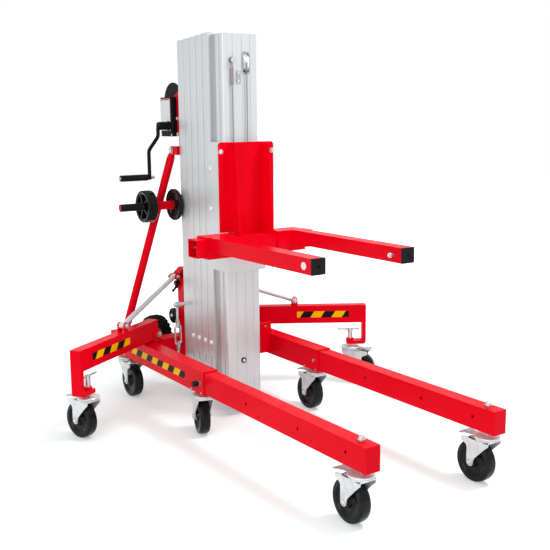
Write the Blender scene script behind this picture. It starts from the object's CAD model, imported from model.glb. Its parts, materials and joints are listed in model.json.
"""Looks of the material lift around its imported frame. Metres, row frame, +Z up."""
import bpy
import bmesh
import json
from math import cos, pi, radians, sin
from mathutils import Matrix, Vector


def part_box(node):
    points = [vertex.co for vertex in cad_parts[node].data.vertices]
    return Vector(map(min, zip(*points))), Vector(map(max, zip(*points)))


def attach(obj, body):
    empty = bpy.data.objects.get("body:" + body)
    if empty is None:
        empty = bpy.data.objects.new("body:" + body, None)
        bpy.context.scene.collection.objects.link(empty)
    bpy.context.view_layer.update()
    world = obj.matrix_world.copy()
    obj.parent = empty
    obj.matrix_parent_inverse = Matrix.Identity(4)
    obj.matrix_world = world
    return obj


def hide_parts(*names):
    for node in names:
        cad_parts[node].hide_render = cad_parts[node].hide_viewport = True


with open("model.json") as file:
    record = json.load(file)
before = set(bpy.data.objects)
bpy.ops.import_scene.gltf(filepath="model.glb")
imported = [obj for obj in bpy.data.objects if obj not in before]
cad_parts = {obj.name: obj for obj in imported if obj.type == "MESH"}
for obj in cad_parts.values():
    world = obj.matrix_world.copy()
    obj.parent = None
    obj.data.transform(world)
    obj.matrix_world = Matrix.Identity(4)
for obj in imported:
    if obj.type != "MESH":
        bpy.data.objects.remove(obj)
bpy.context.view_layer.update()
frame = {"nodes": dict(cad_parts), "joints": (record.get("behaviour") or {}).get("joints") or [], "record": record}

# Camera, fitted to the edges of the legs, forks and mast
CAMERA_PLACE = (-2.04885, -3.01052, 1.33232)
CAMERA_YAW = 34.177
CAMERA_PITCH = -10.079
CAMERA_ROLL = -0.551
CAMERA_LENS = 57.44
SENSOR = 36.0

# The two sides with the sign of X, and the upright direction
SIDES = {"left": -1, "right": 1}
UP = Vector((0, 0, 1))

# Studio: surround, floor, its glow and the reach over which that rises to white, soft boxes
WORLD_LIGHT = 0.46
FLOOR_HALF = 14
FLOOR_COLOUR = (0.83, 0.912, 0.912, 1)
FLOOR_GLOW = 0.30
GLOW_REACH = (0.8, 3.2)
LIGHTS = (
    ("key", (1.9, -1.7, 4.8), (0.0, 0.0, 0.5), 1.2, 125),
    ("fill", (-4.2, -2.6, 2.8), (0.0, 0.0, 0.8), 3.2, 100),
    ("top", (0.2, 0.4, 5.2), (0.0, 0.0, 0.0), 3.6, 45),
)

# Casters: wheel, sheet-metal fork, levels of its parts, and outlines along its trail
WHEEL_RADIUS = 0.080
TRAIL = 0.050
FORK_BOSS = 0.0150
FORK_INNER = 0.032
FORK_OUTER = 0.036
FORK_RIB = 0.0010
NUT_SEAT = 0.0362
FORK_PLATE_LEVEL = 0.1715
FORK_TOP_LEVEL = 0.1755
PEDAL_LEVEL = 0.1835
RING_LEVEL = 0.1897
LONG_STEM_LEVEL = 0.195
SHOE_PLACE = 0.078
SHOE_LEVEL = 0.1480
FORK_SIDE = [
    (-0.012, 0.141), (-0.034, 0.161), (-0.036, 0.1755), (0.060, 0.1755), (0.093, 0.1700),
    (0.095, 0.158), (0.088, 0.151), (0.078, 0.149), (0.069, 0.143), (0.0655, 0.135),
]
PEDAL = [
    (0.040, 0.020), (0.076, 0.020), (0.088, 0.026), (0.098, 0.033), (0.110, 0.034), (0.112, 0.031),
]

# Tapes on the sleeves and arms
TAPE_PITCH = 0.1060
TAPE_LEAN = 0.65
TAPE_WIDTH = 0.031
SLEEVE_TAPE_LENGTH = 0.543
SLEEVE_TAPE_SETBACK = 0.158
SLEEVE_TAPE_LEVEL = 0.2535
ARM_TAPE_END = 0.525
ARM_TAPE_LEVEL = 0.361
ARM_HALF_WIDTH = 0.025

# Base: leg holes, arm lugs, knobs and jack spindles
LEG_HOLE_PLACES = (0.105, 0.374, 0.714)
LEG_HOLE_LEVEL = 0.235
ARM_LUG_PLACE = 0.2516
ARM_LUG_LEVEL = 0.432
KNOB_RADIUS = 0.013
JACK_FOOT_LEVEL = 0.206
JACK_BAR_LEVEL = 0.277
JACK_BAR_OFFSET = 0.0635

# Mast sections, from the rear one's back forwards
MAST_HALF = 0.087
MAST_WALL = 0.004
MAST_EDGE = 0.0010
MOUTH_HALF = 0.065
NECK_HALF = 0.0647
NECK_LENGTH = 0.0046
FLANGE_HALF = 0.077
SECTION_PITCH = 0.057
SECTION_DEPTH = 0.0552
REAR_BACK = 0.6595
SLOT_BOTTOM = 0.214
SLOT_TOP = 0.256
SLOT_HALF = 0.003
SIDE_SCREW_SETBACK = 0.02835
SIDE_SCREW_LEVEL = 0.322

# Front profile: face, grooves, side channels, window and the small parts on the face
FACE = 0.2585
FRONT_REAR = 0.3745
FRONT_TOP = 1.692
FRONT_CORE_HALF = 0.071
FACE_GROOVES = (-0.037, 0.010, 0.051)
WINDOW = (0.012, 0.045)
WINDOW_BOTTOM = 1.529
WINDOW_TOP = 1.613
STOP_PLATE_X = -0.010
STOP_PLATE_LEVEL = 1.5105
CABLE_BOLT_X = -0.045
CABLE_BOLT_LEVEL = 1.581
GROMMET_X = -0.005
GROMMET_LEVEL = 0.257

# Carriage screws
PLATE_BOLT_X = 0.1297
PLATE_BOLT_LEVEL = 1.198
CARRIAGE_SCREW_X = 0.0973
CARRIAGE_SCREW_LEVELS = (0.944, 1.120)

# Winch case, its label and plate, and the crank
CASE_X = -0.1010
LABEL_Y = 0.766
LABEL_LEVEL = 1.3570
LABEL_THICK = 0.0010
LABEL_BAND_LEVEL = 1.4265
PLATE_X = -0.073
PLATE_BOTTOM = 1.174
PLATE_TOP = 1.470
CRANK_Y = 0.7335
CRANK_LEVEL = 1.3055
CRANK_BENDS = (
    (-0.146, CRANK_LEVEL), (-0.160, CRANK_LEVEL), (-0.160, 1.257), (-0.211, 1.193), (-0.211, 1.058),
)
CRANK_PIN_X = -0.1885
CRANK_PIN_LEVEL = 1.069

# Transport bar, its wheels (place, half width, half web) and grips, lugs and diagonal braces
BAR_Y = 0.6915
BAR_LEVEL = 0.938
BAR_HALF = 0.3868
ROLL_RADIUS = 0.075
NARROW_WHEEL = (0.108, 0.0098, 0.003)
WIDE_WHEEL = (0.252, 0.0248, 0.004)
SPACER_MIDDLE = 0.1725
SPACER_LENGTH = 0.107
GRIP_START = 0.2778
GRIP_LENGTH = 0.1082
LUG_Y = 0.7215
LUG_LEVEL = 1.191
LUG_RADIUS = 0.020
BRACE_TOP = (0.088, 0.7295, 1.190)
BRACE_FOOT = (0.2973, 0.8615, 0.345)

# Eye of the turnbuckles' upper rods, and the guide roller behind the post
STUD_LEVEL = 0.467
ROLLER_PLACE = (-0.062, 0.8165, 0.371)
ROLLER_HALF_WIDTH = 0.011

# Colours, linear
RED = (0.86, 0.0, 0.012)
ALUMINIUM = (0.665, 0.69, 0.705)
ZINC = (0.62, 0.63, 0.64)
SHEET_ZINC = (0.74, 0.75, 0.76)
BLACK = (0.006, 0.006, 0.007)
RUBBER = (0.005, 0.005, 0.0055)
YELLOW = (1.0, 0.55, 0.0)
TAPE_BLACK = (0.008, 0.008, 0.009)

# Material slot of each look that has another name than its slot
LOOK_SLOTS = {
    "shaded_aluminium": "aluminium",
    "label_plate": "aluminium",
    "white_screw": "aluminium",
    "chrome": "zinc",
    "pedal_zinc": "fork_zinc",
    "caster_rubber": "black_plastic",
}


def set_camera():
    """Put the camera at the photograph's place and angle."""
    data = bpy.data.cameras.new("camera")
    camera = bpy.data.objects.new("camera", data)
    bpy.context.scene.collection.objects.link(camera)
    data.sensor_width = SENSOR
    data.lens = CAMERA_LENS
    data.clip_end = 60
    yaw, pitch, roll = (radians(a) for a in (CAMERA_YAW, CAMERA_PITCH, CAMERA_ROLL))
    level = cos(pitch)
    forward = Vector((sin(yaw) * level, cos(yaw) * level, sin(pitch)))
    right = Vector((cos(yaw), -sin(yaw), 0))
    up = right.cross(forward)
    across = right * cos(roll) + up * sin(roll)
    upward = up * cos(roll) - right * sin(roll)
    turn = Matrix((across, upward, -forward)).transposed()
    camera.matrix_world = at(CAMERA_PLACE) @ turn.to_4x4()
    bpy.context.scene.camera = camera


# Materials

class Nodes:
    """Small helper that adds and joins shader nodes of one material."""

    def __init__(self, name):
        self.material = bpy.data.materials.new(name)
        self.material.use_nodes = True
        self.tree = self.material.node_tree
        self.shader = self.tree.nodes["Principled BSDF"]
        self.place = self.add("ShaderNodeTexCoord").outputs["Object"]

    def add(self, kind, **settings):
        node = self.tree.nodes.new(kind)
        for key, value in settings.items():
            setattr(node, key, value)
        return node

    def join(self, output, socket):
        self.tree.links.new(output, socket)

    def noise(self, scale, detail=3.0, stretch=(1, 1, 1)):
        """Noise over the surface, with a scale for each axis."""
        mapping = self.add("ShaderNodeMapping")
        mapping.inputs["Scale"].default_value = stretch
        self.join(self.place, mapping.inputs["Vector"])
        node = self.add("ShaderNodeTexNoise")
        node.inputs["Scale"].default_value = scale
        node.inputs["Detail"].default_value = detail
        self.join(mapping.outputs["Vector"], node.inputs["Vector"])
        return node.outputs["Fac"]

    def ramp(self, value, low, high, start=0.0, end=1.0):
        """Map a value from low..high to start..end."""
        node = self.add("ShaderNodeMapRange")
        for key, number in (("From Min", low), ("From Max", high), ("To Min", start), ("To Max", end)):
            node.inputs[key].default_value = number
        self.join(value, node.inputs["Value"])
        return node.outputs["Result"]

    def feed(self, socket, value):
        """Link a socket where a socket is given, or else set its constant."""
        if isinstance(value, bpy.types.NodeSocket):
            self.join(value, socket)
        else:
            socket.default_value = value

    def blend(self, factor, first, second):
        """Colour between two colours or sockets."""
        node = self.add("ShaderNodeMix", data_type="RGBA")
        self.join(factor, node.inputs["Factor"])
        for socket, value in ((node.inputs[6], first), (node.inputs[7], second)):
            self.feed(socket, (*value, 1) if isinstance(value, tuple) else value)
        return node.outputs[2]

    def clouded(self, scale, colour, dark, light):
        """A colour with slight cloudy changes of shade."""
        cloud = self.ramp(self.noise(scale), 0.3, 0.7)
        return self.blend(cloud, shade(colour, dark), shade(colour, light))

    def number(self, operation, *values):
        """Result of one operation on sockets and numbers."""
        node = self.add("ShaderNodeMath", operation=operation)
        for socket, value in zip(node.inputs, values):
            self.feed(socket, value)
        return node.outputs[0]

    def bump(self, height, strength, distance):
        """Relief from a height value."""
        node = self.add("ShaderNodeBump")
        node.inputs["Strength"].default_value = strength
        node.inputs["Distance"].default_value = distance
        self.join(height, node.inputs["Height"])
        self.join(node.outputs["Normal"], self.shader.inputs["Normal"])

    def set(self, **values):
        """Constant values on the shader's own sockets, or links where a socket is given."""
        for key, value in values.items():
            self.feed(self.shader.inputs[key.replace("_", " ")], value)


def shade(colour, factor):
    """A colour made lighter or darker."""
    return tuple(min(1.0, c * factor) for c in colour)


def paint(name, colour, roughness=0.3):
    """Powder coat: slight shade changes, fine orange peel and a faint gloss."""
    m = Nodes(name)
    m.set(Base_Color=m.clouded(3.5, colour, 0.93, 1.06))
    m.set(Roughness=m.ramp(m.noise(18), 0.2, 0.8, roughness - 0.06, roughness + 0.08))
    m.set(Specular_IOR_Level=0.05)
    m.bump(m.noise(700, 2), 0.12, 0.0004)
    return m.material


def drawn_aluminium(name, colour, axis=(220, 220, 1.6)):
    """Anodised extrusion with faint die lines along its length."""
    m = Nodes(name)
    lines = m.noise(1.0, 2, axis)
    tone = m.clouded(2.2, colour, 0.96, 1.05)
    m.set(Base_Color=m.blend(m.ramp(lines, 0.35, 0.7), tone, shade(colour, 0.97)))
    m.set(Metallic=0.35, Roughness=m.ramp(lines, 0.3, 0.7, 0.36, 0.44))
    m.bump(lines, 0.03, 0.0003)
    return m.material


def plated(name, colour, roughness=0.28, metallic=0.9):
    """Plated steel: cloudy sheen and fine grain."""
    m = Nodes(name)
    m.set(Base_Color=m.clouded(40, colour, 0.86, 1.08))
    m.set(Metallic=metallic)
    m.set(Roughness=m.ramp(m.noise(120), 0.25, 0.75, roughness - 0.06, roughness + 0.1))
    m.bump(m.noise(900, 2), 0.05, 0.0002)
    return m.material


def plastic(name, colour, roughness=0.42, grain=1200, gloss=0.10):
    """Moulded plastic or rubber with a fine grain."""
    m = Nodes(name)
    m.set(Base_Color=m.clouded(12, colour, 0.8, 1.5))
    m.set(Roughness=m.ramp(m.noise(60), 0.3, 0.7, roughness - 0.06, roughness + 0.08))
    m.set(Specular_IOR_Level=gloss)
    m.bump(m.noise(grain, 2), 0.15, 0.0003)
    return m.material


def cable_wire(name):
    """Stranded steel wire: bright and dark bands that wind round the cable."""
    m = Nodes(name)
    wave = m.add("ShaderNodeTexWave", wave_type="BANDS", bands_direction="DIAGONAL")
    wave.inputs["Scale"].default_value = 120
    m.join(m.place, wave.inputs["Vector"])
    band = wave.outputs["Fac"]
    m.set(Base_Color=m.blend(band, (0.10, 0.085, 0.08), (0.42, 0.38, 0.36)))
    m.set(Metallic=0.6, Roughness=0.36)
    m.bump(band, 0.4, 0.0006)
    return m.material


def hazard(name, phase):
    """Slanting black and yellow stripes along X, printed on tape."""
    m = Nodes(name)
    split = m.add("ShaderNodeSeparateXYZ")
    m.join(m.place, split.inputs[0])
    lean = m.number("MULTIPLY_ADD", split.outputs["Z"], -TAPE_LEAN, split.outputs["X"])
    turn = m.number("MULTIPLY_ADD", lean, 1 / TAPE_PITCH, phase)
    stripe = m.ramp(m.number("FRACT", turn), 0.49, 0.51)
    m.set(Base_Color=m.blend(stripe, TAPE_BLACK, YELLOW))
    m.set(Roughness=m.ramp(m.noise(50), 0.3, 0.7, 0.3, 0.42), Specular_IOR_Level=0.05)
    m.bump(m.noise(500, 2), 0.05, 0.0002)
    return m.material


MATERIALS = {
    "red_paint": paint("red_paint", RED),
    "aluminium": drawn_aluminium("aluminium", ALUMINIUM),
    "shaded_aluminium": drawn_aluminium("shaded_aluminium", (0.42, 0.43, 0.44)),
    "zinc": plated("zinc", ZINC),
    "fork_zinc": plated("fork_zinc", SHEET_ZINC, 0.36, 0.45),
    "pedal_zinc": plated("pedal_zinc", (0.52, 0.52, 0.53), 0.34, 0.6),
    "black_plastic": plastic("black_plastic", BLACK),
    "rubber": plastic("rubber", RUBBER, 0.62, 800),
    "steel_cable": cable_wire("steel_cable"),
    "dark_paint": paint("dark_paint", TAPE_BLACK, 0.4),
    "caster_rubber": plastic("caster_rubber", BLACK, 0.20, 500, 0.16),
    "chrome": plated("chrome", (0.50, 0.50, 0.51), 0.22, 0.8),
    "white_screw": plated("white_screw", (0.93, 0.93, 0.93), 0.3, 0.15),
    "label_plate": drawn_aluminium("label_plate", (0.72, 0.73, 0.74), (3, 200, 200)),
}


def dress_nodes():
    """Give every node of the frame the material of its slot."""
    slots = {s["node"]: s["material_slot"] for s in frame["record"]["subparts"]}
    for name, node in frame["nodes"].items():
        node.data.materials.clear()
        node.data.materials.append(MATERIALS[slots[name]])


# Stage

def make_stage():
    """Pale floor that fades into a white surround, and soft studio light."""
    scene = bpy.context.scene
    scene.view_settings.view_transform = "Standard"
    world = bpy.data.worlds.new("studio")
    scene.world = world
    world.use_nodes = True
    tree = world.node_tree
    background = tree.nodes["Background"]
    background.inputs["Color"].default_value = (1, 1, 1, 1)
    background.inputs["Strength"].default_value = WORLD_LIGHT
    white = tree.nodes.new("ShaderNodeBackground")
    white.inputs["Color"].default_value = (1, 1, 1, 1)
    white.inputs["Strength"].default_value = 1.0
    mix = tree.nodes.new("ShaderNodeMixShader")
    tree.links.new(seen_rays(tree), mix.inputs[0])
    tree.links.new(background.outputs[0], mix.inputs[1])
    tree.links.new(white.outputs[0], mix.inputs[2])
    tree.links.new(mix.outputs[0], tree.nodes["World Output"].inputs["Surface"])

    mesh = bpy.data.meshes.new("floor")
    corners = [(x * FLOOR_HALF, y * FLOOR_HALF, 0) for x, y in ((-1, -1), (1, -1), (1, 1), (-1, 1))]
    mesh.from_pydata(corners, [], [(0, 1, 2, 3)])
    floor = bpy.data.objects.new("floor", mesh)
    scene.collection.objects.link(floor)
    m = Nodes("floor")
    m.set(Base_Color=FLOOR_COLOUR, Roughness=0.75, Specular_IOR_Level=0.2)
    reach = m.add("ShaderNodeVectorMath", operation="LENGTH")
    m.join(m.place, reach.inputs[0])
    rise = m.ramp(reach.outputs["Value"], *GLOW_REACH, FLOOR_GLOW, 1.0)
    glow = m.number("MULTIPLY", rise, seen_rays(m.tree))
    m.set(Emission_Color=(1, 1, 1, 1), Emission_Strength=glow)
    mesh.materials.append(m.material)

    for light in LIGHTS:
        area_light(*light)


def seen_rays(tree):
    """One for camera, glossy and transmission rays, zero for the light on the object."""
    path = tree.nodes.new("ShaderNodeLightPath")
    total = path.outputs["Is Camera Ray"]
    for name in ("Is Glossy Ray", "Is Transmission Ray"):
        either = tree.nodes.new("ShaderNodeMath")
        either.operation = "MAXIMUM"
        tree.links.new(total, either.inputs[0])
        tree.links.new(path.outputs[name], either.inputs[1])
        total = either.outputs[0]
    return total


def area_light(name, place, target, size, power):
    """Square soft box aimed at a point."""
    data = bpy.data.lights.new(name, "AREA")
    data.size = size
    data.energy = power
    light = bpy.data.objects.new(name, data)
    light.location = place
    light.rotation_euler = (Vector(target) - Vector(place)).to_track_quat("-Z", "Y").to_euler()
    bpy.context.scene.collection.objects.link(light)


# Geometry helpers

JOINTS = {joint["name"]: joint for joint in frame["joints"]}
BODIES = frame["record"]["behaviour"]["bodies"]
NODE_BODY = {node: body for body, nodes in BODIES.items() for node in nodes}


def centre(node):
    """Middle of a node's box."""
    low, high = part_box(node)
    return (Vector(low) + Vector(high)) / 2


def keep(name, mesh, look, body, place=None, sharp=35, slot=None):
    """Turn a drawn mesh into a piece that has a look and a slot and rides on a body."""
    slot = slot or LOOK_SLOTS.get(look, look)
    data = bpy.data.meshes.new(name)
    bmesh.ops.recalc_face_normals(mesh, faces=mesh.faces)
    mesh.to_mesh(data)
    mesh.free()
    data.materials.append(MATERIALS[look])
    for polygon in data.polygons:
        polygon.use_smooth = True
    data.set_sharp_from_angle(angle=radians(sharp))
    piece = bpy.data.objects.new(name, data)
    if place is not None:
        piece.matrix_world = place
    bpy.context.scene.collection.objects.link(piece)
    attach(piece, body)
    return piece


def at(point):
    """Matrix that moves the origin to a point."""
    return Matrix.Translation(point)


def frame_at(origin, along):
    """Matrix with its Z along a direction and its Y as near to upright as it gets."""
    z = Vector(along).normalized()
    y = UP
    if abs(z.z) > 0.99:
        y = Vector((0, 1, 0))
    x = y.cross(z).normalized()
    y = z.cross(x)
    turn = Matrix((x, y, z)).transposed().to_4x4()
    return at(origin) @ turn


def join_rings(mesh, rings, closed=False):
    """Faces between rings of points, with flat ends unless the last ring joins the first."""
    pairs = list(zip(rings, rings[1:]))
    if closed:
        pairs.append((rings[-1], rings[0]))
    count = len(rings[0])
    for first, second in pairs:
        for k in range(count):
            n = (k + 1) % count
            mesh.faces.new((first[k], first[n], second[n], second[k]))
    if not closed:
        mesh.faces.new(list(reversed(rings[0])))
        mesh.faces.new(rings[-1])


def circle(count):
    """Cosine and sine of angles spread evenly over a turn."""
    angles = [2 * pi * k / count for k in range(count)]
    return [(cos(angle), sin(angle)) for angle in angles]


def arc(x, y, radius, start, sweep, steps):
    """Points of an arc round (x, y) from its start and sweep in degrees."""
    angles = [radians(start + sweep * k / steps) for k in range(steps + 1)]
    return [(x + radius * cos(angle), y + radius * sin(angle)) for angle in angles]


def add_lathe(mesh, profile, place, segments, closed=False):
    """Add a turned shape from (radius, height) points."""
    rings = []
    for radius, height in profile:
        points = [Vector((radius * x, radius * y, height)) for x, y in circle(segments)]
        rings.append([mesh.verts.new(place @ point) for point in points])
    join_rings(mesh, rings, closed)


def turned(name, profile, place, segments, look, body, **options):
    """One piece from a closed turned shape."""
    mesh = bmesh.new()
    add_lathe(mesh, profile, place, segments, closed=True)
    return keep(name, mesh, look, body, **options)


def both_sides(half):
    """Outline from the half above zero and the same half below it."""
    return half + [(first, -second) for first, second in reversed(half) if second]


def add_prism(mesh, outline, height, place, bevel=0.0):
    """Add a straight prism from 0 to a height, its top edge bevelled where a bevel is given."""
    middle = sum((Vector(p) for p in outline), Vector((0, 0))) / len(outline)
    corners = [Vector(p) for p in outline]
    inner = [p + (middle - p).normalized() * bevel for p in corners]
    levels = [(corners, 0.0), (corners, height - bevel)]
    if bevel:
        levels.append((inner, height))
    rings = []
    for points, level in levels:
        rings.append([mesh.verts.new(place @ Vector((p.x, p.y, level))) for p in points])
    join_rings(mesh, rings)


def add_extrusion(mesh, outline, bottom, top):
    """Add an upright profile between two levels from its (x, y) outline."""
    join_rings(mesh, [[mesh.verts.new((x, y, z)) for x, y in outline] for z in (bottom, top)])


def add_frame(mesh, outer, inner, height, place):
    """Add a flat ring between two outlines that have as many points each."""
    rings = []
    for outline, level in ((outer, 0.0), (outer, height), (inner, height), (inner, 0.0)):
        rings.append([mesh.verts.new(place @ Vector((x, y, level))) for x, y in outline])
    join_rings(mesh, rings, closed=True)


def soften(points, steps=4):
    """Outline from (x, y, radius) corners, each right angle rounded by its radius."""
    outline = []
    for k, (x, y, radius) in enumerate(points):
        corner = Vector((x, y))
        if not radius:
            outline.append((x, y))
            continue
        before = (Vector(points[k - 1][:2]) - corner).normalized()
        after = (Vector(points[(k + 1) % len(points)][:2]) - corner).normalized()
        middle = corner + (before + after) * radius
        for step in range(steps + 1):
            angle = pi / 2 * step / steps
            point = middle - after * radius * cos(angle) - before * radius * sin(angle)
            outline.append((point.x, point.y))
    return outline


def add_bar(mesh, route, radius, segments=20):
    """Add a round bar along a route of points, with flat ends."""
    points = [Vector(p) for p in route]
    rings = []
    for k, point in enumerate(points):
        before = points[max(k - 1, 0)]
        after = points[min(k + 1, len(points) - 1)]
        along = (after - before).normalized()
        side = Vector((0, 1, 0)) if abs(along.y) < 0.9 else Vector((1, 0, 0))
        across = along.cross(side).normalized()
        other = along.cross(across)
        offsets = [(across * x + other * y) * radius for x, y in circle(segments)]
        rings.append([mesh.verts.new(point + offset) for offset in offsets])
    join_rings(mesh, rings)


def rounded_route(points, radius, steps=6):
    """Route through points with its inner corners rounded."""
    route = [Vector(points[0])]
    for k in range(1, len(points) - 1):
        corner = Vector(points[k])
        start = corner + (Vector(points[k - 1]) - corner).normalized() * radius
        end = corner + (Vector(points[k + 1]) - corner).normalized() * radius
        for step in range(steps + 1):
            t = step / steps
            route.append(start * (1 - t) ** 2 + corner * 2 * t * (1 - t) + end * t * t)
    route.append(Vector(points[-1]))
    return route


def regular(count, radius):
    """Corners of a regular polygon."""
    return [(radius * x, radius * y) for x, y in circle(count)]


def rounded_rectangle(width, height, radius, steps=5):
    """Outline of a rectangle with rounded corners."""
    points = []
    for sx, sy, start in ((1, 1, 0), (-1, 1, 90), (-1, -1, 180), (1, -1, 270)):
        points += arc(sx * (width / 2 - radius), sy * (height / 2 - radius), radius, start, 90, steps)
    return points


def add_bolt(mesh, place, across, head, washer):
    """Hexagon head on a washer, with a slightly domed top."""
    flat = 0.0018
    seat_level = flat + 0.0004
    add_lathe(mesh, [(washer, 0), (washer, flat), (washer - 0.001, seat_level)], place, 32)
    seat = place @ at((0, 0, seat_level))
    add_prism(mesh, regular(6, across / 1.732), head, seat, 0.0012)
    dome = place @ at((0, 0, seat_level + head))
    inner = across / 2 * 0.82
    add_lathe(mesh, [(inner, 0), (inner * 0.9, 0.0006), (inner * 0.4, 0.001)], dome, 24)


def add_dome(mesh, place, radius, height, segments=32):
    """Domed screw head with a flat middle."""
    profile = [(radius, 0)]
    steps = 6
    for k in range(steps + 1):
        angle = pi / 2 * k / steps
        level = height * (0.3 + 0.7 * sin(angle))
        profile.append((max(radius * cos(angle), radius * 0.3), level))
    add_lathe(mesh, profile, place, segments)


def add_helix(mesh, place, radius, depth, pitch, length, segments):
    """Threaded rod: a cylinder whose radius follows a helical V."""
    steps = int(length / pitch * 8)
    rings = []
    for j in range(steps + 1):
        height = length * j / steps
        ring = []
        for k, (x, y) in enumerate(circle(segments)):
            phase = (height / pitch - k / segments) % 1.0
            r = radius - depth * abs(2 * phase - 1)
            ring.append(mesh.verts.new(place @ Vector((r * x, r * y, height))))
        rings.append(ring)
    join_rings(mesh, rings)


def arm_frame(side, sign):
    """Pivot, axis and outward direction of a stabilizer arm."""
    joint = JOINTS[f"arm_{side}_fold"]
    axis = Vector(joint["axis"])
    outward = UP.cross(axis)
    if outward.x * sign < 0:
        outward = -outward
    return Vector(joint["pos_m"]), axis, outward


def side_place(x, y=0, z=0):
    """Place for an outline drawn in (y, z) and raised along X."""
    return Matrix(((0, 0, 1, x), (1, 0, 0, y), (0, 1, 0, z), (0, 0, 0, 1)))


def add_ribs(profile, first, length, count, groove, ridge, rise):
    """Add ribs along a grip to its profile, each from the groove's radius to the ridge's."""
    step = length / count
    for k in range(count):
        start = first + length * k / count
        for part, radius in ((0.0, groove), (rise, ridge), (0.70, ridge), (0.95, groove)):
            profile.append((radius, start + part * step))


# Casters

def wheel_profile():
    """Closed outline of a caster wheel: crowned tread, side ring, recessed web and hub."""
    half = [
        (0.0062, 0.0268), (0.0150, 0.0268), (0.0205, 0.0262), (0.0215, 0.0240),
        (0.0235, 0.0150), (0.0260, 0.0128), (0.0420, 0.0122), (0.0520, 0.0140),
        (0.0560, 0.0185), (0.0585, 0.0218), (0.0610, 0.0226), (0.0680, 0.0228),
        (0.0690, 0.0222), (0.0700, 0.0228), (0.0745, 0.0222), (0.0775, 0.0195),
        (0.0790, 0.0150), (0.0797, 0.0080), (0.0799, 0.0),
    ]
    return both_sides(half)


def make_casters():
    """Wheels with rounded treads, and each one's fork with its small parts."""
    for side in SIDES:
        for row in ("front", "middle", "rear", "arm"):
            tag = f"{row}_{side}"
            joint = JOINTS[f"caster_{tag}_roll"]
            place = frame_at(joint["pos_m"], joint["axis"])
            node = f"caster_wheel_{tag}"
            wheel = turned(f"wheel_{tag}", wheel_profile(), place, 72, "caster_rubber", node, sharp=50)
            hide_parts(node)
            fork_details(tag, place)


def level_turn(trail):
    """Turn that brings X to a level direction and leaves Z upright."""
    return Matrix((trail, UP.cross(trail), UP)).transposed().to_4x4()


def make_fork(tag, swivel, trail):
    """Sheet-metal fork with ears, a flared brake pedal, its head and its axle."""
    node = f"caster_fork_{tag}"
    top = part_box(node)[1][2]
    across = trail.cross(UP)
    base = Vector((swivel.x, swivel.y, 0))
    upright = Matrix((trail, UP, across)).transposed().to_4x4()
    foot = arc(TRAIL, WHEEL_RADIUS, FORK_BOSS, 0, -180, 12)
    outline = foot + [(0.034, 0.088), (0.029, 0.099)] + FORK_SIDE
    rib = [(0.0455, 0.098), (0.0545, 0.098), (0.0545, 0.166), (0.0455, 0.166)]
    sheet = FORK_OUTER - FORK_INNER
    mesh = bmesh.new()
    for shape, thick, start in ((outline, sheet, FORK_INNER), (outline, sheet, -FORK_OUTER),
                                (rib, FORK_RIB, FORK_OUTER), (rib, FORK_RIB, -FORK_OUTER - FORK_RIB)):
        add_prism(mesh, shape, thick, at(base + across * start) @ upright)
    plate = [(-0.036, -FORK_OUTER), (0.058, -FORK_OUTER), (0.058, FORK_OUTER), (-0.036, FORK_OUTER)]
    place = at(base + UP * FORK_PLATE_LEVEL) @ level_turn(trail)
    add_prism(mesh, plate, FORK_TOP_LEVEL - FORK_PLATE_LEVEL, place)
    head = [(0.034, 0.1755), (0.0445, 0.1760), (0.0450, 0.1800), (0.0420, 0.1826), (0.0380, 0.1832)]
    head += [(0.0378, 0.1890), (0.0360, 0.1897)]
    add_lathe(mesh, head, at(base), 56)
    if top > LONG_STEM_LEVEL:
        add_lathe(mesh, [(0.0060, 0.189), (0.0060, top - 0.0005)], at(base), 24)
    axle = frame_at(base + trail * TRAIL + UP * WHEEL_RADIUS - across * NUT_SEAT, across)
    add_lathe(mesh, [(0.0058, 0.0), (0.0058, 2 * NUT_SEAT)], axle, 24)
    piece = keep(f"fork_{tag}", mesh, "fork_zinc", node)
    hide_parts(node)
    mesh = bmesh.new()
    tilt = Matrix.Rotation(radians(3), 4, "Y")
    place = at(base + UP * PEDAL_LEVEL) @ level_turn(trail) @ tilt
    add_prism(mesh, both_sides(PEDAL), 0.0032, place, 0.0008)
    keep(f"pedal_{tag}", mesh, "pedal_zinc", node)


def fork_details(tag, place):
    """Bolts at the axle's ends, swivel ring, the fork and the brake shoe under its pedal."""
    body = f"caster_fork_{tag}"
    swivel = Vector(JOINTS[f"caster_{tag}_swivel"]["pos_m"])
    axle = place.to_translation()
    across = place.to_3x3() @ UP
    metal = bmesh.new()
    for sign in (-1, 1):
        seat = frame_at(axle + across * sign * NUT_SEAT, across * sign)
        add_bolt(metal, seat, 0.016, 0.0036, 0.0115)
    keep(f"axle_nuts_{tag}", metal, "zinc", body)
    ring = bmesh.new()
    seat = at((swivel.x, swivel.y, RING_LEVEL))
    profile = [(0.0455, -0.0072), (0.0470, -0.0060), (0.0472, -0.0015), (0.0455, 0.0004), (0.0400, 0.0012)]
    add_lathe(ring, profile, seat, 56)
    keep(f"swivel_ring_{tag}", ring, "fork_zinc", body)
    trail = axle - swivel
    trail.z = 0
    trail.normalize()
    make_fork(tag, swivel, trail)
    shoe = bmesh.new()
    base = swivel + trail * SHOE_PLACE
    base.z = SHOE_LEVEL
    seat = at(base) @ level_turn(trail)
    add_prism(shoe, rounded_rectangle(0.028, 0.034, 0.006), 0.0120, seat)
    keep(f"brake_shoe_{tag}", shoe, "black_plastic", body)


# Tapes

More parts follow.
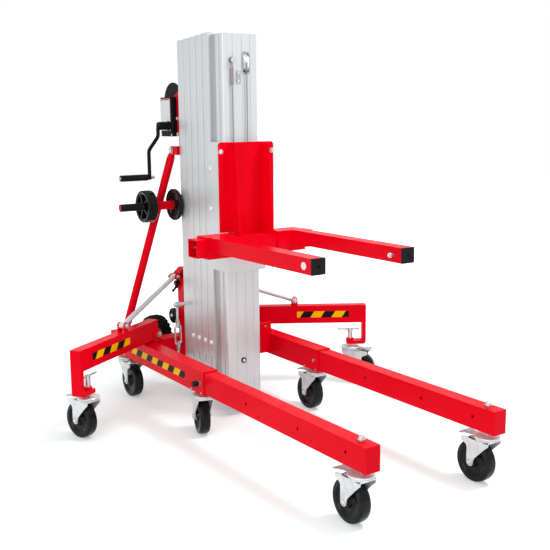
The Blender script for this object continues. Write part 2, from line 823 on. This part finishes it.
def tape(name, body, corner, along, length, phase):
    """Printed tape with rounded corners on a flat face, drawn in its own frame."""
    along = Vector(along).normalized()
    turn = Matrix((along, UP.cross(along), UP)).transposed().to_4x4()
    shape = rounded_rectangle(length, TAPE_WIDTH, 0.003)
    outline = [(x + length / 2, z + TAPE_WIDTH / 2) for x, z in shape]
    upright = Matrix(((1, 0, 0, 0), (0, 0, -1, 0), (0, 1, 0, 0), (0, 0, 0, 1)))
    mesh = bmesh.new()
    add_prism(mesh, outline, 0.0004, upright)
    MATERIALS[name] = hazard(name, phase)
    keep(name, mesh, name, body, at(corner) @ turn, slot="black_plastic")


def make_tapes():
    """Tape on the sleeves' outer faces and on the arms' front faces."""
    for side, sign in SIDES.items():
        low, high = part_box(f"sleeve_{side}")
        x = low[0] if sign < 0 else high[0]
        front = low[1] + SLEEVE_TAPE_SETBACK
        level = SLEEVE_TAPE_LEVEL - TAPE_WIDTH / 2
        start, run, phase = (x, front, level), (0, 1, 0), 0.0
        if sign < 0:
            start, run, phase = (x, front + SLEEVE_TAPE_LENGTH, level), (0, -1, 0), 0.42
        tape(f"tape_sleeve_{side}", "base", start, run, SLEEVE_TAPE_LENGTH, phase)
        pivot, axis, outward = arm_frame(side, sign)
        face = pivot + ARM_HALF_WIDTH * Vector((-abs(axis.x) * sign, -abs(axis.y), 0))
        inner = 0.237 if sign < 0 else 0.2634
        near = face + outward * inner
        far = face + outward * ARM_TAPE_END
        near.z = far.z = ARM_TAPE_LEVEL - TAPE_WIDTH / 2
        start, run, phase = (far, -outward, 0.31) if sign < 0 else (near, outward, 0.872)
        tape(f"tape_arm_{side}", f"arm_{side}", start, run, ARM_TAPE_END - inner, phase)


# Base details

def make_base_details():
    """Swivel bolts, hole plugs and knobs of the legs, with the jacks and braces of the arms."""
    for side, sign in SIDES.items():
        swivel = Vector(JOINTS[f"caster_front_{side}_swivel"]["pos_m"])
        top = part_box(f"caster_fork_front_{side}")[1][2]
        mesh = bmesh.new()
        add_bolt(mesh, at((swivel.x, swivel.y, top)), 0.019, 0.0085, 0.0138)
        keep(f"swivel_bolt_{side}", mesh, "zinc", f"caster_fork_front_{side}")
        mesh = bmesh.new()
        low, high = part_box(f"leg_{side}")
        outer = low[0] if sign < 0 else high[0]
        for setback in LEG_HOLE_PLACES:
            point = (outer - sign * 0.0012, low[1] + setback, LEG_HOLE_LEVEL)
            place = frame_at(point, (sign, 0, 0))
            add_lathe(mesh, [(0.0059, 0.0), (0.0059, 0.0008)], place, 32)
        keep(f"hole_plugs_{side}", mesh, "black_plastic", f"leg_{side}")
        knob(f"plunger_{side}", f"leg_plunger_{side}", (sign, 0, 0), 0.024)
        knob(f"stop_knob_{side}", f"beam_knob_{side}", (0, 1, 0), 0.020)
        threads(side)
        brace_details(side, sign)


def knob(name, node, axis, length):
    """Ribbed hand knob at the outer end of its node, on a stem."""
    low, high = (Vector(v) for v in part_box(node))
    axis = Vector(axis)
    end = centre(node)
    for i in range(3):
        if abs(axis[i]) > 0.5:
            end[i] = high[i] if axis[i] > 0 else low[i]
    place = frame_at(end - axis * length, axis)
    mesh = bmesh.new()
    ribs = 12
    steps = ribs * 6
    outline = []
    for k, (x, y) in enumerate(circle(steps)):
        r = KNOB_RADIUS * (0.955 + 0.045 * cos(ribs * (2 * pi * k / steps)))
        outline.append((r * x, r * y))
    add_prism(mesh, outline, length, place, 0.0022)
    piece = keep(f"{name}_grip", mesh, "black_plastic", NODE_BODY[node])
    stem = bmesh.new()
    total = (high - low).dot(Vector(abs(a) for a in axis))
    profile = [(0.0059, -(total - length)), (0.0059, -0.003), (0.0095, -0.003), (0.0095, 0.0)]
    add_lathe(stem, profile, place, 32)
    keep(f"{name}_stem", stem, "zinc", NODE_BODY[node])
    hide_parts(node)


def threads(side):
    """Jack spindle with a cut thread and its crossbar."""
    node = f"spindle_{side}"
    axis_x, axis_y, _ = JOINTS[f"caster_arm_{side}_swivel"]["pos_m"]
    mesh = bmesh.new()
    place = at((axis_x, axis_y, JACK_FOOT_LEVEL))
    add_helix(mesh, place, 0.0129, 0.0012, 0.0040, 0.058, 24)
    add_lathe(mesh, [(0.0129, 0.058), (0.0129, 0.073), (0.0118, 0.0762), (0.0070, 0.0770)], place, 32)
    add_lathe(mesh, [(0.0059, -0.0142), (0.0059, 0.0)], place, 24)
    pivot = Vector(JOINTS[f"arm_{side}_fold"]["pos_m"])
    outward = Vector((axis_x, axis_y, 0)) - Vector((pivot.x, pivot.y, 0))
    outward.normalize()
    level = Vector((axis_x, axis_y, JACK_BAR_LEVEL))
    bar = frame_at(level - outward * JACK_BAR_OFFSET, outward)
    profile = [(0.0030, 0.0), (0.0055, 0.0015), (0.0058, 0.0045), (0.0052, 0.0070), (0.0039, 0.0085)]
    profile += [(0.0039, 0.1025), (0.0052, 0.1040), (0.0058, 0.1065), (0.0055, 0.1095), (0.0030, 0.1110)]
    add_lathe(mesh, profile, bar, 24)
    piece = keep(f"jack_{side}", mesh, "zinc", node, sharp=40)
    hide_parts(node)


def brace_details(side, sign):
    """Bolt heads at both ends of a grey brace and on the arm's pivot."""
    pivot, axis, outward = arm_frame(side, sign)
    lug = pivot + outward * ARM_LUG_PLACE
    lug.z = ARM_LUG_LEVEL
    mesh = bmesh.new()
    for way in (-1, 1):
        add_bolt(mesh, frame_at(lug + axis * way * 0.0189, axis * way), 0.017, 0.008, 0.0125)
    keep(f"lug_bolt_{side}", mesh, "zinc", f"arm_{side}")
    head = Vector(JOINTS[f"brace_{side}_fold"]["pos_m"])
    mesh = bmesh.new()
    for way in (-1, 1):
        add_bolt(mesh, frame_at(head + axis * way * 0.0239, axis * way), 0.016, 0.006, 0.0098)
        add_bolt(mesh, frame_at(pivot + axis * way * 0.0373, axis * way), 0.019, 0.006, 0.0138)
    keep(f"pivot_bolts_{side}", mesh, "zinc", "base")


# Mast, carriage and forks

def mirrored(points):
    """The same corners on the other side of the centre plane, in turning order."""
    return [(-x, y, r) for x, y, r in reversed(points)]


def tongue(back, reach):
    """Right half of the T-shaped tongue behind a profile's back."""
    if reach <= 0.001:
        return []
    neck = back + NECK_LENGTH
    corners = ((NECK_HALF, back), (NECK_HALF, neck), (FLANGE_HALF, neck), (FLANGE_HALF, back + reach))
    return [(x, y, 0) for x, y in corners]


def upright_strip(sign, outer, inner, front, rear):
    """Outline of a strip on one side of the mast."""
    corners = ((outer, front), (outer, rear), (inner, rear), (inner, front))
    return [(sign * x, y) for x, y in corners]


def make_sections():
    """Channel profiles of the mast with slots in their sides, and the dark pads and strips in them."""
    for index in range(2, 6):
        node = f"mast_section_{index}"
        low, high = (Vector(v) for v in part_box(node))
        back = REAR_BACK - SECTION_PITCH * (index - 1)
        front = back - SECTION_DEPTH
        inner = MAST_HALF - MAST_WALL
        hook = tongue(back, high.y - back)
        half = [(MAST_HALF, back, MAST_EDGE)] + hook
        rear = half + mirrored(half)
        lip = [(MOUTH_HALF, front, 0), (MAST_HALF, front, MAST_EDGE)]
        inside = [(inner, front + MAST_WALL, 0), (MOUTH_HALF, front + MAST_WALL, 0)]
        pocket = [(-inner, back - MAST_WALL, 0), (inner, back - MAST_WALL, 0)]
        whole = lip + rear + mirrored(lip) + mirrored(inside) + pocket + inside
        mesh = bmesh.new()
        add_extrusion(mesh, soften(whole), low.z, SLOT_BOTTOM)
        add_extrusion(mesh, soften(whole), SLOT_TOP, high.z)
        middle = (back + front) / 2
        edge = middle + SLOT_HALF
        around = [(MAST_HALF, edge, 0)] + rear + [(-MAST_HALF, edge, 0)]
        within = [(-inner, edge, 0)] + pocket + [(inner, edge, 0)]
        add_extrusion(mesh, soften(around + within), SLOT_BOTTOM, SLOT_TOP)
        edge = middle - SLOT_HALF
        side = lip + [(MAST_HALF, edge, 0), (inner, edge, 0)] + inside
        add_extrusion(mesh, soften(side), SLOT_BOTTOM, SLOT_TOP)
        add_extrusion(mesh, soften(mirrored(side)), SLOT_BOTTOM, SLOT_TOP)
        piece = keep(f"channel_{index}", mesh, "aluminium", node)
        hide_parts(node)
        mesh = bmesh.new()
        for sign in (-1, 1):
            pad = upright_strip(sign, inner - 0.0002, inner - 0.0032, middle - 0.006, middle + 0.006)
            add_extrusion(mesh, pad, SLOT_BOTTOM - 0.010, SLOT_TOP + 0.083)
            behind = back + SECTION_PITCH - SECTION_DEPTH
            strip = upright_strip(sign, MAST_HALF - 0.0004, MAST_HALF - 0.0034, back, behind)
            add_extrusion(mesh, strip, low.z, high.z - 0.004)
        keep(f"glide_pads_{index}", mesh, "black_plastic", node)


def make_front_profile():
    """Front profile with a grooved face, a window and deep side channels."""
    low, high = (Vector(v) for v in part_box("mast_front"))
    face = []
    for place in FACE_GROOVES:
        face += [(place - 0.001, FACE, 0), (place - 0.001, FACE + 0.0015, 0)]
        face += [(place + 0.001, FACE + 0.0015, 0), (place + 0.001, FACE, 0)]
    deep = MAST_HALF - 0.008
    flank = [
        (MAST_HALF, FACE, 0.008), (MAST_HALF, FACE + 0.020, 0), (MAST_HALF - 0.004, FACE + 0.020, 0),
        (MAST_HALF - 0.004, FACE + 0.030, 0), (MAST_HALF, FACE + 0.030, 0),
        (MAST_HALF, FACE + 0.060, 0.002), (deep, FACE + 0.060, 0), (deep, FRONT_REAR - 0.004, 0),
        (MAST_HALF, FRONT_REAR - 0.004, 0), (MAST_HALF, FRONT_REAR, 0.0015),
    ]
    half = flank + tongue(FRONT_REAR, high.y - FRONT_REAR)
    wall = FACE + 0.006
    core = [(-FRONT_CORE_HALF, wall, 0), (-FRONT_CORE_HALF, FRONT_REAR - 0.006, 0)]
    core += [(FRONT_CORE_HALF, FRONT_REAR - 0.006, 0), (FRONT_CORE_HALF, wall, 0)]
    mesh = bmesh.new()
    middle = sum(WINDOW) / 2
    levels = ((low.z, WINDOW_BOTTOM, middle, middle), (WINDOW_BOTTOM, WINDOW_TOP, *WINDOW))
    levels += ((WINDOW_TOP, FRONT_TOP, middle, middle),)
    for bottom, top, left, right in levels:
        outline = [(right, FACE, 0)] + [p for p in face if p[0] > right] + half
        outline += mirrored(half) + [p for p in face if p[0] < left]
        outline += [(left, FACE, 0), (left, wall, 0)] + core + [(right, wall, 0)]
        add_extrusion(mesh, soften(outline), bottom, top)
    piece = keep("front_profile", mesh, "aluminium", "mast_front")
    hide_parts("mast_front")
    mesh = bmesh.new()
    for sign in (-1, 1):
        strip = upright_strip(sign, deep, deep + 0.0008, FACE + 0.0605, FRONT_REAR - 0.0042)
        add_extrusion(mesh, strip, low.z + 0.0005, FRONT_TOP - 0.0005)
    keep("channel_liners", mesh, "shaded_aluminium", "mast_front")


def make_face_parts():
    """Rim of the window, and the plates below and beside it."""
    mesh = bmesh.new()
    place = frame_at((sum(WINDOW) / 2, FACE, (WINDOW_BOTTOM + WINDOW_TOP) / 2), (0, -1, 0))
    wide = WINDOW[1] - WINDOW[0]
    tall = WINDOW_TOP - WINDOW_BOTTOM
    outer = rounded_rectangle(wide + 0.010, tall + 0.010, 0.012)
    inner = rounded_rectangle(wide - 0.002, tall - 0.002, 0.009)
    add_frame(mesh, outer, inner, 0.0024, place)
    keep("window_rim", mesh, "chrome", "mast_front")
    mesh = bmesh.new()
    place = frame_at((STOP_PLATE_X, FACE, STOP_PLATE_LEVEL), (0, -1, 0))
    add_prism(mesh, rounded_rectangle(0.022, 0.056, 0.004), 0.0032, place, 0.0008)
    place = frame_at((CABLE_BOLT_X, FACE, CABLE_BOLT_LEVEL), (0, -1, 0))
    add_prism(mesh, rounded_rectangle(0.019, 0.022, 0.009), 0.0042, place)
    keep("stop_plate", mesh, "chrome", "mast_front")


def make_sheave():
    """Grooved cable sheave behind the window."""
    low, high = (Vector(v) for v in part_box("top_sheave"))
    radius = (high.z - low.z) / 2
    half = min((high.x - low.x) / 2, 0.013)
    rim = [(0.0062, half), (radius - 0.003, half), (radius, half - 0.001), (radius, half - 0.003)]
    groove = [(radius - 0.0055, 0.0035), (radius - 0.0065, 0.0)]
    place = frame_at((low + high) / 2, (1, 0, 0))
    piece = turned("sheave_wheel", both_sides(rim + groove), place, 64, "fork_zinc",
                   NODE_BODY["top_sheave"], slot="black_plastic")
    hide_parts("top_sheave")


def make_mast_details():
    """Screw heads on the sections' sides, the cable bolt, the grommet and the stop plate's screws."""
    for index in range(2, 6):
        node = f"mast_section_{index}"
        y = REAR_BACK - SECTION_PITCH * (index - 1) - SIDE_SCREW_SETBACK
        mesh = bmesh.new()
        for sign in (-1, 1):
            place = frame_at((sign * 0.0868, y, SIDE_SCREW_LEVEL), (sign, 0, 0))
            add_dome(mesh, place, 0.0108, 0.0096)
        keep(f"side_screws_{index}", mesh, "white_screw", node)
    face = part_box("carriage_body")[0][1] + 0.0343
    mesh = bmesh.new()
    for z in (STOP_PLATE_LEVEL - 0.018, STOP_PLATE_LEVEL + 0.018):
        add_dome(mesh, frame_at((STOP_PLATE_X, face - 0.0030, z), (0, -1, 0)), 0.0052, 0.0030)
    place = frame_at((CABLE_BOLT_X, face - 0.0160, CABLE_BOLT_LEVEL), (0, -1, 0))
    add_bolt(mesh, place, 0.015, 0.006, 0.011)
    place = frame_at((GROMMET_X, face - 0.0030, GROMMET_LEVEL), (0, -1, 0))
    add_bolt(mesh, place, 0.011, 0.005, 0.0075)
    keep("mast_bolts", mesh, "zinc", "mast_front")
    ring = [(0.0080, 0.0), (0.0128, 0.0), (0.0128, 0.0034), (0.0112, 0.0046), (0.0086, 0.0042)]
    place = frame_at((GROMMET_X, face, GROMMET_LEVEL), (0, -1, 0))
    turned("grommet", ring, place, 40, "black_plastic", "mast_front")


def make_carriage_details():
    """Bolts of the back plate, screws of the slide and the fork pins' heads and rings."""
    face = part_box("carriage_frame")[1][1] - 0.008
    mesh = bmesh.new()
    for x in (-PLATE_BOLT_X, PLATE_BOLT_X):
        add_bolt(mesh, frame_at((x, face, PLATE_BOLT_LEVEL), (0, -1, 0)), 0.015, 0.007, 0.0105)
    keep("plate_bolts", mesh, "zinc", "carriage")
    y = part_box("carriage_body")[1][1] - 0.013
    mesh = bmesh.new()
    for sign in (-1, 1):
        for z in CARRIAGE_SCREW_LEVELS:
            place = frame_at((sign * CARRIAGE_SCREW_X, y, z), (sign, 0, 0))
            add_dome(mesh, place, 0.0115, 0.0120)
    keep("carriage_screws", mesh, "white_screw", "carriage")
    for side, sign in SIDES.items():
        pin = centre(f"fork_pin_{side}")
        low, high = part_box(f"fork_pin_{side}")
        edge, inner = (low[0], high[0]) if sign < 0 else (high[0], low[0])
        mesh = bmesh.new()
        place = frame_at((edge - sign * 0.0042, pin.y, pin.z), (sign, 0, 0))
        profile = [(0.0140, 0.0), (0.0143, 0.0008), (0.0143, 0.0022), (0.0136, 0.0030), (0.0090, 0.0034)]
        add_lathe(mesh, profile, place, 40)
        add_dome(mesh, place @ at((0, 0, 0.0034)), 0.0062, 0.0022)
        ring_place = frame_at((inner + sign * 0.007, pin.y, pin.z), (sign, 0, 0))
        ring = [(0.0060, -0.002), (0.0095, -0.002), (0.0100, 0.0), (0.0095, 0.002), (0.0060, 0.002)]
        add_lathe(mesh, ring, ring_place, 32, closed=True)
        keep(f"fork_pin_head_{side}", mesh, "zinc", f"fork_pin_{side}")


# Winch and crank

def make_crank():
    """Black crank: hub and shaft on the case, and a bent bar down to the grip's pin."""
    mesh = bmesh.new()
    hub = [
        (0.0210, 0.0), (0.0220, 0.001), (0.0220, 0.0065), (0.0190, 0.0080), (0.0190, 0.0500),
        (0.0175, 0.0585), (0.0120, 0.0587),
    ]
    add_lathe(mesh, hub, frame_at((CASE_X - 0.0004, CRANK_Y, CRANK_LEVEL), (-1, 0, 0)), 40)
    add_bar(mesh, rounded_route([(x, CRANK_Y, z) for x, z in CRANK_BENDS], 0.0135), 0.0085)
    piece = keep("crank_bar", mesh, "dark_paint", "crank")
    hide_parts("crank")
    mesh = bmesh.new()
    pin = frame_at((CRANK_PIN_X, CRANK_Y, CRANK_PIN_LEVEL), (-1, 0, 0))
    add_prism(mesh, regular(6, 0.0078), 0.0135, pin, 0.0012)
    add_lathe(mesh, [(0.0058, 0.013), (0.0058, 0.1713)], pin, 24)
    add_lathe(mesh, [(0.0048, 0.1714), (0.0048, 0.1725), (0.0040, 0.1735)], pin, 32)
    keep("crank_pin", mesh, "zinc", "crank")


def label_part(name, look, x, level, shape, height, bevel):
    """Flat part with rounded corners on the winch case's left side."""
    turn = Matrix(((0, 0, -1, 0), (-1, 0, 0, 0), (0, 1, 0, 0), (0, 0, 0, 1)))
    mesh = bmesh.new()
    add_prism(mesh, rounded_rectangle(*shape), height, at((x, LABEL_Y, level)) @ turn, bevel)
    keep(name, mesh, look, "base")


def make_winch_details():
    """Bare label plate with its band, screws and plate bolts, the crank and its ribbed grip."""
    plate = (0.092, 0.148, 0.004)
    band = (0.088, 0.0052, 0.001)
    label_part("label_plate", "label_plate", CASE_X, LABEL_LEVEL, plate, LABEL_THICK, 0.0004)
    label_part("label_band", "red_paint", CASE_X - LABEL_THICK, LABEL_BAND_LEVEL, band, 0.0002, 0.0)
    mesh = bmesh.new()
    for y in (0.7090, 0.8110):
        add_dome(mesh, frame_at((CASE_X, y, 1.2640), (-1, 0, 0)), 0.0050, 0.0034, 20)
    for z in (1.3394, 1.2673):
        add_bolt(mesh, frame_at((PLATE_X, 0.6955, z), (-1, 0, 0)), 0.015, 0.007, 0.0105)
    keep("winch_screws", mesh, "zinc", "base")
    make_crank()
    low, high = (Vector(v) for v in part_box("crank_grip"))
    length = high.x - low.x
    profile = [(0.0061, 0.0), (0.0125, 0.0), (0.0143, 0.0018)]
    add_ribs(profile, 0.006, length - 0.018, 14, 0.0136, 0.0149, 0.25)
    profile += [(0.0149, length - 0.008), (0.0143, length - 0.0015), (0.0125, length), (0.0061, length)]
    middle = (low + high) / 2
    place = frame_at((low.x, middle.y, middle.z), (1, 0, 0))
    grip = turned("crank_handle", profile, place, 48, "black_plastic", "crank_grip", sharp=30)
    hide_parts("crank_grip")


# Wheels and turnbuckles

def make_tyres():
    """Pneumatic tyres with a block tread, on their rims."""
    for side in SIDES:
        node = f"tyre_wheel_{side}"
        joint = JOINTS[f"tyre_wheel_{side}_roll"]
        place = frame_at(joint["pos_m"], joint["axis"])
        mesh = bmesh.new()
        half = [
            (0.0590, 0.0330), (0.0640, 0.0372), (0.0780, 0.0410), (0.0920, 0.0416),
            (0.1030, 0.0385), (0.1095, 0.0310), (0.1125, 0.0180),
        ]
        add_lathe(mesh, both_sides(half + [(0.1132, 0.0)]), place, 80, closed=True)
        blocks = 26
        rows = ((-0.0285, -24, 0.0), (-0.0098, 0, 0.5), (0.0098, 0, 0.0), (0.0285, 24, 0.5))
        shape = rounded_rectangle(0.0165, 0.0150, 0.0024, 2)
        for k in range(blocks):
            for row, lean, shift in rows:
                spin = place @ Matrix.Rotation(2 * pi * (k + shift) / blocks, 4, "Z")
                out = side_place(0.1085 - abs(lean) * 0.00020, 0, row)
                tilt = Matrix.Rotation(radians(-lean), 4, "X")
                add_prism(mesh, shape, 0.0108, spin @ out @ tilt, 0.0010)
        tyre = keep(f"tyre_{side}", mesh, "rubber", node, sharp=40)
        rim = [
            (0.0101, 0.0415), (0.0170, 0.0415), (0.0215, 0.0395), (0.0220, 0.0180), (0.0280, 0.0130),
            (0.0470, 0.0150), (0.0550, 0.0260), (0.0610, 0.0370), (0.0632, 0.0362), (0.0600, 0.0300),
        ]
        turned(f"rim_{side}", both_sides(rim), place, 64, "fork_zinc", node)
        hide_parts(node)


def round_end(start, middle, level, radius):
    """Outline of a plate from the mast's back to a round rear end."""
    rear = arc(middle, level, radius, -90, 180, 12)
    return [(start, level - radius)] + rear + [(start, level + radius)]


def side_box(depth, bottom, top):
    """Outline of an upright plate on the mast's back, seen from the side."""
    rear = REAR_BACK + depth
    return [(REAR_BACK, bottom), (rear, bottom), (rear, top), (REAR_BACK, top)]


def make_mast_frame():
    """Winch plate, fork-ended lugs, tapered diagonal tubes and the transport bar."""
    mesh = bmesh.new()
    outline = [(REAR_BACK, PLATE_BOTTOM), (0.6920, PLATE_BOTTOM), (0.6920, 1.262), (0.8095, 1.262)]
    outline += [(0.8095, 1.403), (0.6745, PLATE_TOP), (REAR_BACK, PLATE_TOP)]
    add_prism(mesh, outline, 0.006, side_place(PLATE_X))
    add_prism(mesh, side_box(0.006, PLATE_BOTTOM, PLATE_TOP), 0.040, side_place(PLATE_X + 0.006))
    bar = frame_at((-BAR_HALF, BAR_Y, BAR_LEVEL), (1, 0, 0))
    add_lathe(mesh, [(0.0125, 0.0), (0.0125, 2 * BAR_HALF)], bar, 32)
    bolts = bmesh.new()
    for sign in (-1, 1):
        plate = round_end(REAR_BACK, BAR_Y, BAR_LEVEL, 0.034)
        add_prism(mesh, plate, 0.008, side_place(0.070 if sign > 0 else -0.078))
        cheek = round_end(REAR_BACK, LUG_Y, LUG_LEVEL, LUG_RADIUS)
        for near in (0.076, 0.095):
            add_prism(mesh, cheek, 0.005, side_place(near if sign > 0 else -near - 0.005))
        web = side_box(0.0085, LUG_LEVEL - LUG_RADIUS, LUG_LEVEL + LUG_RADIUS)
        add_prism(mesh, web, 0.023, side_place(0.0765 if sign > 0 else -0.0995))
        top, end = (Vector((sign * x, y, z)) for x, y, z in (BRACE_TOP, BRACE_FOOT))
        length = (end - top).length
        tube = [(0.0090, 0.0), (0.0135, 0.016), (0.0175, 0.030), (0.0190, 0.044), (0.0190, length - 0.020)]
        add_lathe(mesh, tube + [(0.0150, length - 0.004)], frame_at(top, end - top), 36)
        y = BRACE_FOOT[1]
        seat = [(y - 0.022, 0.304), (y + 0.022, 0.304), (y + 0.022, 0.342), (y, 0.356), (y - 0.022, 0.342)]
        add_prism(mesh, seat, 0.024, side_place(end.x - 0.012))
        for way, x in ((sign, 0.100), (-sign, 0.076)):
            add_bolt(bolts, frame_at((sign * x, LUG_Y, LUG_LEVEL), (way, 0, 0)), 0.024, 0.0060, 0.0160)
    piece = keep("rear_frame", mesh, "red_paint", "base")
    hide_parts("mast_frame")
    keep("lug_bolts", bolts, "zinc", "base")


def make_transport_wheels():
    """Spoked wide and narrow wheels, the square spacer between them, and the ribbed grips."""
    for side, sign in SIDES.items():
        node = f"transport_wheels_{side}"
        mesh = bmesh.new()
        for middle, half, web in (NARROW_WHEEL, WIDE_WHEEL):
            place = frame_at((sign * middle, BAR_Y, BAR_LEVEL), (1, 0, 0))
            rim = [
                (0.0129, half), (0.0190, half), (0.0205, half - 0.0015), (0.0215, web), (0.0560, web),
                (0.0575, half - 0.0040), (0.0620, half - 0.0010), (0.0680, half),
                (0.0725, half - 0.0012), (0.0745, half - 0.0036), (ROLL_RADIUS - 0.0002, half - 0.0060),
            ]
            add_lathe(mesh, both_sides(rim), place, 72, closed=True)
            spoke = [(0.019, -0.0035), (0.060, -0.0022), (0.060, 0.0022), (0.019, 0.0035)]
            for k in range(5):
                spin = place @ Matrix.Rotation(2 * pi * k / 5, 4, "Z")
                add_prism(mesh, spoke, 2 * half - 0.006, spin @ at((0, 0, 0.003 - half)))
        wheels = keep(f"rollers_{side}", mesh, "caster_rubber", node, sharp=40)
        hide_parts(node)
        mesh = bmesh.new()
        place = frame_at((sign * SPACER_MIDDLE - SPACER_LENGTH / 2, BAR_Y, BAR_LEVEL), (1, 0, 0))
        add_prism(mesh, rounded_rectangle(0.038, 0.038, 0.004), SPACER_LENGTH, place)
        keep(f"bar_spacer_{side}", mesh, "red_paint", "base")
        length = GRIP_LENGTH
        place = frame_at((sign * GRIP_START, BAR_Y, BAR_LEVEL), (sign, 0, 0))
        profile = [(0.0118, 0.0), (0.0172, 0.0), (0.0176, 0.0015)]
        add_ribs(profile, 0.004, length - 0.010, 16, 0.0165, 0.0176, 0.3)
        profile += [(0.0176, length - 0.004), (0.0168, length - 0.0005)]
        profile += [(0.0118, length), (0.0112, length - 0.002)]
        turned(f"bar_grip_{side}", profile, place, 40, "black_plastic", "base", sharp=30)


def make_turnbuckles():
    """Lock nuts, cut threads and eye bolts on the rods of the turnbuckles."""
    for side in SIDES:
        x, y, _ = JOINTS[f"turnbuckle_{side}_turn"]["pos_m"]
        low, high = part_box(f"turnbuckle_{side}")
        mesh = bmesh.new()
        for z in (high[2] + 0.001, low[2] - 0.009):
            add_prism(mesh, regular(6, 0.0105), 0.008, at((x, y, z)), 0.0012)
        for z, length in ((high[2] + 0.009, 0.058), (low[2] - 0.033, 0.024)):
            add_helix(mesh, at((x, y, z)), 0.0066, 0.0008, 0.0022, length, 16)
        for way in (-1, 1):
            nut = frame_at((x + way * 0.0068, y, STUD_LEVEL), (way, 0, 0))
            add_bolt(mesh, nut, 0.021, 0.0062, 0.0130)
        keep(f"lock_nuts_{side}", mesh, "zinc", "base")


def make_roller():
    """Small guide roller on its bracket behind the post."""
    x, y, z = ROLLER_PLACE
    width = 2 * ROLLER_HALF_WIDTH
    place = frame_at((x - ROLLER_HALF_WIDTH, y, z), (1, 0, 0))
    near = [(0.0060, 0.0), (0.0130, 0.0), (0.0140, 0.003), (0.0300, 0.003), (0.0320, 0.0)]
    near += [(0.0360, 0.0012), (0.0380, 0.004)]
    outline = near + [(r, width - h) for r, h in reversed(near)]
    turned("guide_roller", outline, place, 56, "black_plastic", "base")
    mesh = bmesh.new()
    add_lathe(mesh, [(0.0059, -0.0035), (0.0059, width + 0.0040)], place, 24)
    add_bolt(mesh, frame_at((x - ROLLER_HALF_WIDTH, y, z), (-1, 0, 0)), 0.016, 0.006, 0.0110)
    keep("roller_axle", mesh, "zinc", "base")
    post_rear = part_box("clamp_lever")[0][1] + 0.027
    reach = y - post_rear
    lower = [(0.0, -0.020), (reach + 0.012, -0.016)]
    upper = [(reach + 0.012, 0.016), (0.0, 0.020)]
    mesh = bmesh.new()
    place = side_place(x + ROLLER_HALF_WIDTH + 0.001, post_rear, z)
    add_prism(mesh, lower + [(reach + 0.018, 0.0)] + upper, 0.0055, place)
    keep("roller_bracket", mesh, "red_paint", "base")


set_camera()
make_stage()
dress_nodes()
make_casters()
make_tapes()
make_base_details()
make_sections()
make_front_profile()
make_face_parts()
make_sheave()
make_mast_details()
make_carriage_details()
make_winch_details()
make_tyres()
make_mast_frame()
make_transport_wheels()
make_turnbuckles()
make_roller()
